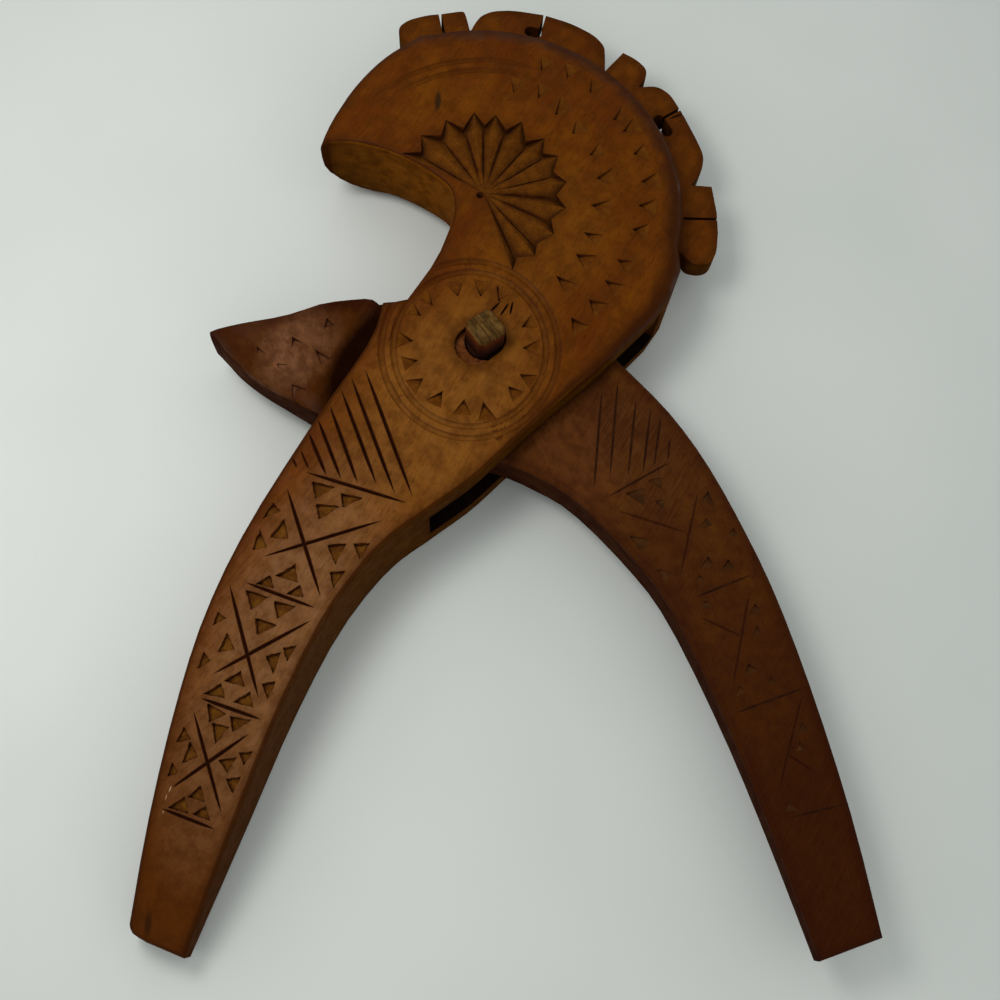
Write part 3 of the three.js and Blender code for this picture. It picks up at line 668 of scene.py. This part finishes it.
# The board under the carving: its sawn sides, the slot painted black as shade, the outline's long steps, and
# the crest
board = {
    "sawnBelow": 0.45, "slotFloorUnder": 9 * mm, "slotCeilingOver": 18 * mm,
    "smoothFrom": 112, "smoothTo": 170, "smoothRadius": 41 * mm, "stepLeast": 7 * mm, "stepMost": 16 * mm,
    "stepCuts": 3, "stepBulge": 0.4 * mm, "onStep": 0.01 * mm,
    "crestTop": 16.5 * mm, "crestFrom": 50.3 * mm, "cornersFrom": 53.3 * mm, "turnLeast": 8, "turnMost": 70,
    "cornerShare": 34, "rimTurn": 60, "rimNear": 0.1 * mm, "rimWear": 0.45 * mm,
}


def sharedLine(shares):
    return place(*shares[:2]), place(*shares[2:])


def varied(size, between):
    # No two cuts made by hand are the same
    return size * dice.uniform(*between)


def nickCut(point, degrees, length, width, depth, top, materials, shake):
    # The nick's point is at the place given and it opens in the direction of the angle
    base = around(point, degrees, length)
    corners = [point, around(base, degrees - 90, width / 2), around(base, degrees + 90, width / 2)]
    return triangleCut("nick", corners, depth, top, materials, shake)


def sidesOf(piece, steepest):
    # Faces that stand up or look down take the second material, the sawn wood
    for face in piece.data.polygons:
        face.material_index = 1 if face.normal.z < steepest else 0


upper = copyOfNode("upper_lever", "carved_upper_lever",
                   [headWood, headSideWood, shadedCutWall, cutFloor, nickFloor, shadedGrooveWood, fanWood, slotShade])
sidesOf(upper, board["sawnBelow"])
for face in upper.data.polygons:
    # The slot's floor and ceiling are painted black: painted shade inside the slot
    floorOfSlot = face.normal.z > 0.9 and face.center.z < board["slotFloorUnder"]
    ceilingOfSlot = face.normal.z < -0.9 and face.center.z > board["slotCeilingOver"]
    if floorOfSlot or ceilingOfSlot:
        face.material_index = len(upper.data.materials) - 1
print("upper lever copied:", len(upper.data.polygons), "faces")


def pickEdges(piece, wanted):
    # Edges are picked outside edit mode, and edit mode is entered with only them selected
    picked = [wanted(edge) for edge in piece.data.edges]
    only(piece)
    edit()
    bpy.ops.mesh.select_mode(type="EDGE")
    bpy.ops.mesh.select_all(action="DESELECT")
    objectMode()
    for edge, chosen in zip(piece.data.edges, picked):
        edge.select = chosen
    edit()
    print("picked", sum(picked), "edges of", piece.name)


def endsOf(piece, edge):
    return [piece.data.vertices[index].co.copy() for index in edge.vertices]


def headSpot(spot):
    # Degrees and distance round the head's centre
    aside = spot.xy - headCentre
    return bearing(aside), aside.length


def longStep(edge):
    # The outline's few long flat steps between the crest and the beak
    ends = endsOf(upper, edge)
    inPlace = all(board["smoothFrom"] < headSpot(end)[0] < board["smoothTo"] and
                  headSpot(end)[1] > board["smoothRadius"] for end in ends)
    return inPlace and board["stepLeast"] < (ends[1] - ends[0]).xy.length < board["stepMost"]


def besideEdges(piece):
    # The normals of the faces beside each edge
    normals = {}
    for face in piece.data.polygons:
        for key in face.edge_keys:
            normals.setdefault(key, []).append(face.normal.copy())
    return normals


# The long steps are cut up and their middles pushed out into a smooth curve
steps = [endsOf(upper, edge) for edge in upper.data.edges if longStep(edge)]
pickEdges(upper, longStep)
bpy.ops.mesh.subdivide(number_cuts=board["stepCuts"])
objectMode()
for first, last in steps:
    way = last - first
    for vertex in upper.data.vertices:
        share = (vertex.co - first).dot(way) / way.length_squared
        if 0.01 < share < 0.99 and (first + way * share - vertex.co).length < board["onStep"]:
            out = (vertex.co.xy - headCentre).normalized()
            vertex.co += out.to_3d() * board["stepBulge"] * 4 * share * (1 - share)

# The crest's corners are rounded where its flat steps meet, and its upper edge is worn
selectFaces(upper, lambda face: abs(face.normal.z) < 0.1 and headSpot(face.center)[1] > board["cornersFrom"])
editFaces(upper)
bpy.ops.mesh.dissolve_limited(angle_limit=math.radians(1))
objectMode()


def crestCorner(edge):
    first, second = endsOf(upper, edge)
    pair = beside[edge.key]
    turn = math.degrees(pair[0].angle(pair[1]))
    standing = abs((second - first).normalized().z) > 0.8 and all(abs(normal.z) < 0.5 for normal in pair)
    onCrest = headSpot(first)[1] > board["cornersFrom"]
    return standing and onCrest and board["turnLeast"] < turn < board["turnMost"]


def crestRim(edge):
    pair = beside[edge.key]
    onRim = all(abs(end.z - board["crestTop"]) < board["rimNear"] and headSpot(end)[1] > board["crestFrom"]
                for end in endsOf(upper, edge))
    return onRim and pair[0].angle(pair[1]) > math.radians(board["rimTurn"])


beside = besideEdges(upper)
pickEdges(upper, crestCorner)
bpy.ops.mesh.bevel(offset_type="PERCENT", offset_pct=board["cornerShare"], segments=4)
objectMode()
beside = besideEdges(upper)
pickEdges(upper, crestRim)
bpy.ops.mesh.bevel(offset=board["rimWear"], segments=2, clamp_overlap=True)
objectMode()

chipMaterials = [shadedCutWall, cutFloor]
for label, pixels, depth in (("handleChips", "chipPixels", "chipDepth"),
                             ("softChips", "softChipPixels", "softChipDepth")):
    carve(upper, [triangleCut("recess", onFaceAll(chip, upperTop), cuts[depth], upperTop, chipMaterials,
                              cuts["chipShake"], cuts["chipTilt"]) for chip in cuts[pixels]], label)
for label, lines in (("handleBars", cuts["bars"] + cuts["hatch"]),
                     ("handleCrosses", cuts["downCrosses"]), ("handleCrossesBack", cuts["upCrosses"])):
    carve(upper, [grooveCut(*sharedLine(line), varied(cuts["grooveWidth"], cuts["grooveVary"]),
                            cuts["grooveDepth"], upperTop, shadedGrooveWood) for line in lines], label)
carve(upper, [grooveCut(*sharedLine(line), cuts["shortWidth"], cuts["shortDepth"], upperTop, shadedGrooveWood)
              for line in cuts["shortHatch"]], "shortHatch")
nickMaterials = [shadedCutWall, nickFloor]
carve(upper, [nickCut(around(headCentre, degrees, share * drawing["headRadius"]),
                      degrees + dice.uniform(*cuts["nickTurn"]),
                      varied(cuts["nickLength"], cuts["nickVary"]),
                      varied(cuts["nickWidth"], cuts["nickVary"]),
                      cuts["nickDepth"], upperTop, nickMaterials, cuts["nickShake"])
              for degrees, share in cuts["outerRow"] + cuts["innerRow"]], "headRows")
ringCentre = drawingOrigin.xy + Vector(cuts["ringCentre"])
ringNicks = []
for pixel in cuts["ringNickPixels"]:
    point = onFace(pixel, upperTop)
    ringNicks.append(nickCut(point, bearing(point - ringCentre),
                             varied(cuts["nickLength"], cuts["ringVary"]),
                             varied(cuts["nickWidth"], cuts["ringVary"]),
                             varied(cuts["nickDepth"], cuts["ringDepthVary"]),
                             upperTop, nickMaterials, cuts["nickShake"]))
carve(upper, ringNicks, "ringNicks")


def roundCut(centre, halfX, halfY, width, depth, inside):
    # A shallow worn line round a centre. Outside its arc it lifts off the wood and cuts nothing
    tube = 0.1
    bpy.ops.mesh.primitive_torus_add(major_segments=cuts["lineSteps"], minor_segments=8, major_radius=1,
                                     minor_radius=tube)
    line = bpy.context.active_object
    for vertex in line.data.vertices:
        flat = vertex.co.xy
        out = (flat.length - 1) / tube * width / 2
        flat.normalize()
        spot = centre + Vector((flat.x * (halfX + out), flat.y * (halfY + out)))
        waver = noise.noise(spot.to_3d() / cuts["waverLength"])
        sunk = depth * (cuts["waverMiddle"] + cuts["waver"] * waver) * inside(bearing(flat))
        vertex.co = Vector((spot.x, spot.y, upperTop(spot) + vertex.co.z / tube * depth + depth - sunk))
    only(line)
    bpy.ops.object.shade_smooth()
    line.data.materials.append(lineWood)
    return line


def scribedPart(degrees):
    # 1 along the scribed arc, fading to nothing at its ends
    middle = (cuts["scribedFrom"] + cuts["scribedTo"]) / 2
    half = (cuts["scribedTo"] - cuts["scribedFrom"]) / 2
    return max(1 - ((degrees - middle) / half) ** 2, -2)


halfX, halfY = cuts["ringSize"][0] / 2, cuts["ringSize"][1] / 2
carve(upper, [roundCut(ringCentre, halfX - inset, halfY - inset, cuts["ringWidth"], cuts["ringDepth"],
                       lambda degrees: 1) for inset in (0, cuts["ringInset"])], "ringLines")
carve(upper, [roundCut(headCentre, share * drawing["headRadius"], share * drawing["headRadius"],
                       cuts["scribedWidth"], cuts["scribedDepth"], scribedPart)
              for share in cuts["scribedShares"]], "scribedLines")

# Degrees, share of the radius and depth of each flute's deep end
tips = cuts["fanTips"]
flutes = []
for (degrees, _), (after, _), (way, share) in zip(tips, tips[1:], cuts["fanFlutes"]):
    bold = cuts["fanBold"] if after < 0 else 1
    depth = varied(cuts["fanDepth"] * bold, cuts["fanVary"])
    flutes.append((degrees + (after - degrees) * way, share, depth))


def fanCutter():
    # The rosette: flutes from the head's centre, deepest at their outer ends, with a ridge to each tip
    rim = [(*tips[0], cuts["fanRidgeDepth"])]
    for flute, (after, afterShare) in zip(flutes, tips[1:]):
        rim.append(flute)
        rim.append((after, afterShare, cuts["fanRidgeDepth"]))
    bpy.ops.mesh.primitive_circle_add(vertices=len(rim), radius=1, fill_type="TRIFAN")
    fan = bpy.context.active_object
    outline = [vertex for vertex in fan.data.vertices if vertex.co.length > 0.5]
    middle = next(vertex for vertex in fan.data.vertices if vertex.co.length < 0.5)
    for vertex, (degrees, share, depth) in zip(outline, rim):
        spot = around(headCentre, degrees, share * cuts["fanRadius"])
        vertex.co = Vector((spot.x, spot.y, upperTop(spot) - depth))
    middle.co = Vector((headCentre.x, headCentre.y, upperTop(headCentre) - cuts["fanCentreDepth"]))
    closing = {outline[0].index, outline[-1].index, middle.index}
    selectFaces(fan, lambda face: set(face.vertices) == closing)
    editFaces(fan)
    bpy.ops.mesh.delete(type="FACE")
    bpy.ops.mesh.select_all(action="SELECT")
    bpy.ops.mesh.extrude_region_move(TRANSFORM_OT_translate={"value": (0, 0, cuts["fanOver"])})
    turnOutwards()
    fan.data.materials.append(shadedCutWall)
    fan.data.materials.append(fanWood)
    for face in fan.data.polygons:
        face.material_index = 1 if face.normal.z < -0.5 else 0
    return fan


carve(upper, [fanCutter()], "rosetteFan")


def creaseCut(degrees, share, depth, aside):
    # The knife's fine line beside a flute's bottom
    reach = share * cuts["fanRadius"]

    def flute(spot):
        return upperTop(spot) - depth * (spot.xy - headCentre).length / reach * cuts["creaseLift"]

    first, last = [around(headCentre, degrees + aside, end * reach) for end in cuts["creaseReach"]]
    return grooveCut(first, last, cuts["creaseWidth"], cuts["creaseDepth"], flute, shadedCutWall)


carve(upper, [creaseCut(*flute, dice.uniform(*cuts["creaseAside"])) for flute in flutes], "fluteCreases")
nailSpot = headCentre + Vector(cuts["nailAside"])
bpy.ops.mesh.primitive_cone_add(vertices=9, radius1=cuts["nailPoint"], radius2=cuts["nailMouth"],
                                depth=2 * cuts["nailDepth"], location=(*nailSpot, upperFace["thick"]))
nailHole = bpy.context.active_object
bpy.ops.object.transform_apply()
nailHole.data.materials.append(holeGrimeAndShade)
crackLines = [(line, upperTop) for line in cuts["crackPixels"]]
crackLines.append((cuts["crestCrackPixels"], lambda spot: board["crestTop"]))  # the crest is level
cracks = [grooveCut(*onFaceAll(line, top), cuts["crackWidth"], cuts["crackDepth"], top, holeGrimeAndShade)
          for line, top in crackLines]
carve(upper, [nailHole, *cracks], "holesAndCracks")

# Lower lever: jaw, tongue and the right handle, with the same carving worn shallow
worn = {
    "sawnBelow": 0.3, "covePixel": (356, 362), "coveReach": 13 * mm,
    # Line ends and chip corners, x and y in turn, by the pixels where the photograph shows them
    "linePixels": [
        (602, 390, 594, 490), (618, 380, 610, 478), (636, 400, 628, 479), (651, 408, 643, 474),
        (661, 416, 654, 468), (670, 440, 668, 460),
        (608, 497, 670, 462), (694, 598, 751, 575), (736, 713, 804, 688), (790, 818, 847, 804),
    ],
    "crossPixels": [(616, 510, 688, 533), (698, 492, 680, 578), (750, 590, 733, 686), (803, 692, 779, 792),
                    (787, 754, 812, 770), (700, 617, 741, 636)],
    "chipPixels": [
        (625, 493, 642, 488, 641, 503), (648, 480, 665, 476, 660, 489), (654, 501, 669, 498, 666, 513),
        (708, 491, 702, 499, 716, 509), (706, 517, 700, 528, 713, 526), (734, 527, 727, 536, 738, 536),
        (629, 535, 646, 539, 640, 550), (657, 569, 670, 572, 666, 584),
        (708, 556, 701, 569, 714, 566), (728, 559, 722, 569, 733, 567), (700, 575, 694, 583, 707, 581),
        (755, 604, 749, 615, 762, 612), (757, 626, 751, 638, 763, 636), (749, 664, 745, 675, 759, 671),
        (705, 600, 701, 612, 714, 606), (771, 676, 766, 687, 778, 684), (740, 686, 735, 697, 748, 694),
        (800, 742, 795, 753, 806, 751), (789, 801, 785, 813, 800, 811), (803, 722, 797, 733, 809, 731),
    ],
    # Dents: the pixel of each one's point, and the way it opens in degrees
    "dentPixels": [
        ((292, 337), 300), ((316, 349), 310), ((327, 318), 290), ((257, 347), 300), ((277, 364), 320),
        ((291, 384), 310),
    ],
    "grooveWidth": 0.65 * mm, "grooveDepth": 0.26 * mm, "crossDepth": 0.18 * mm,
    "chipDepth": 0.35 * mm, "chipShake": 0.14 * mm,
    "dentLength": 2.8 * mm, "dentVary": (0.7, 1.2), "dentDepth": 0.6 * mm, "dentDepthVary": (0.6, 1.2),
    "dentShake": 0.3 * mm,
}
lower = copyOfNode("lower_lever", "carved_lower_lever",
                   [handleWood, handleSideWood, shadedWornWall, wornFloor, coveWood])
cove = onFace(worn["covePixel"], lowerTop)
sidesOf(lower, worn["sawnBelow"])
for face in lower.data.polygons:
    if (face.center.xy - cove).length < worn["coveReach"]:
        face.material_index = len(lower.data.materials) - 1
carve(lower, [triangleCut("nick", onFaceAll(chip, lowerTop), worn["chipDepth"], lowerTop,
                          [shadedWornWall, wornFloor], worn["chipShake"])
              for chip in worn["chipPixels"]], "wornChips")
for label, lines, depth, material in (("wornBars", "linePixels", "grooveDepth", shadedWornWall),
                                      ("wornCrosses", "crossPixels", "crossDepth", handleWood)):
    carve(lower, [grooveCut(*onFaceAll(line, lowerTop), worn["grooveWidth"], worn[depth], lowerTop, material)
                  for line in worn[lines]], label)


def dentCut(pixel, degrees):
    # A worn nick on the jaw's dome, laid on the point that the camera sees there
    _, spot, normal, _ = lower.ray_cast(view["place"], rayAt(pixel))
    slope = Vector((-normal.x / normal.z, -normal.y / normal.z))

    def dome(vertex):
        return spot.z + slope.x * (vertex[0] - spot.x) + slope.y * (vertex[1] - spot.y)

    length, width = [varied(worn["dentLength"], worn["dentVary"]) for _ in range(2)]
    depth = varied(worn["dentDepth"], worn["dentDepthVary"])
    return nickCut(spot.xy, degrees, length, width, depth, dome, [shadedWornWall, handleWood], worn["dentShake"])


carve(lower, [dentCut(*dent) for dent in worn["dentPixels"]], "jawDents")

# Peg: whittled square at the top, wider at its worn end than the plain solid, with split end grain
pegShape = {"topFrom": 32.6 * mm, "flare": 1.1, "chipOff": 0.25 * mm, "smooth": 40}
peg = copyOfNode("pivot_peg", "whittled_peg", [pegWood])
selectFaces(peg, lambda face: face.normal.z > 0.9 and face.center.z > pegShape["topFrom"])
editFaces(peg)
bpy.ops.mesh.dissolve_faces()
bpy.ops.transform.resize(value=(pegShape["flare"], pegShape["flare"], 1), center_override=hinge)
bpy.ops.mesh.bevel(offset=pegShape["chipOff"], segments=2)
objectMode()
bpy.ops.object.shade_smooth_by_angle(angle=math.radians(pegShape["smooth"]))

# Dark crumbs are packed into the worn side of the peg's hole, clear of the peg
crumbs = {
    "turn": 220, "wear": 3 * mm, "outer": 5.2 * mm, "inner": 4.95 * mm, "low": 20.3 * mm, "high": 25.4 * mm,
    "sides": 48, "coreLow": 15.4 * mm, "coreHigh": 35.4 * mm,
    "voxel": 0.3 * mm, "grit": 0.5 * mm, "gritSize": 1.1 * mm, "gritSunk": 0.6,
}


def roundPeg(name, radius, low, high):
    bpy.ops.mesh.primitive_cylinder_add(vertices=crumbs["sides"], radius=radius, depth=high - low,
                                        location=(hinge.x, hinge.y, (high + low) / 2))
    made = bpy.context.active_object
    made.name = made.data.name = name
    bpy.ops.object.transform_apply()
    made.data.materials.append(crumbWood)
    return made


dust = roundPeg("hole_dust", crumbs["outer"], crumbs["low"], crumbs["high"])
wornWay = around(Vector((0, 0)), crumbs["turn"], 1)
for vertex in dust.data.vertices:
    if (vertex.co.xy - hinge.xy).dot(wornWay) > 0:
        vertex.co += crumbs["wear"] * wornWay.to_3d()
carve(dust, [roundPeg("core", crumbs["inner"], crumbs["coreLow"], crumbs["coreHigh"])], "pegGap")
lumps = dust.modifiers.new("lumps", "REMESH")
lumps.mode = "VOXEL"
lumps.voxel_size = crumbs["voxel"]
only(dust)
bpy.ops.object.modifier_apply(modifier="lumps")
for vertex in dust.data.vertices:
    if vertex.co.z > crumbs["high"] - crumbs["voxel"]:
        vertex.co.z += crumbs["grit"] * (noise.noise(vertex.co / crumbs["gritSize"]) - crumbs["gritSunk"])

for tool in tools.values():
    bpy.data.objects.remove(tool)

for piece in (upper, lower):
    # Flat faces stay flat in shading, and only the worn edges turn the light
    only(piece)
    steady = piece.modifiers.new("steady", "WEIGHTED_NORMAL")
    steady.keep_sharp = True
    steady.weight = 50
    bpy.ops.object.modifier_apply(modifier="steady")

for piece, node, body, slot in ((upper, "upper_lever", "upper_lever", "upper_wood"),
                                (lower, "lower_lever", "lower_lever", "lower_wood"),
                                (peg, "pivot_peg", "lower_lever", "peg_wood"),
                                (dust, None, "upper_lever", "upper_wood")):
    if node:
        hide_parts(node)
    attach(piece, body)
    print("finished", piece.name, len(piece.data.polygons), "faces")

# Table: a pale, slightly rough sheet
stageLook = {"floor": "dde0df", "shade": "d5d9d7", "size": 3.0, "cloud": 90 * mm, "tooth": 0.9 * mm,
             "bump": 0.1, "bumpDepth": 0.05 * mm, "roughness": 0.7, "gloss": 0.5}
floorMaterial, tree, where = newTree("paleTable")
cloud, tooth = [spotNoise(tree, where, 0, (stageLook[kind],) * 3, 2, 0.3, 0.7) for kind in ("cloud", "tooth")]
pale = layer(tree, linear(stageLook["floor"]), stageLook["shade"], cloud)
surface(tree, stageLook, pale, tooth)
bpy.ops.mesh.primitive_plane_add(size=stageLook["size"])
floor = bpy.context.active_object
floor.name = "table"
floor.data.materials.append(floorMaterial)

# Light: an even pale room, and one soft lamp that hangs near, over the left side
room = {"colour": "fbfffb", "strength": 0.6}
lamp = {"place": (-0.118, 0.018, 0.27), "size": 0.11, "power": 0.32, "colour": "fffdf8"}
world = bpy.data.worlds.new("room")
world.use_nodes = True
world.node_tree.nodes.clear()
sky = addNode(world.node_tree, "ShaderNodeBackground", {
    "Color": linear(room["colour"]), "Strength": room["strength"]})
addNode(world.node_tree, "ShaderNodeOutputWorld", {"Surface": sky.outputs[0]})
bpy.context.scene.world = world
light = bpy.data.lights.new("window", "AREA")
light.shape = "SQUARE"
light.size = lamp["size"]
light.energy = lamp["power"]
light.color = linear(lamp["colour"])[:3]
newObject("window", light).location = lamp["place"]
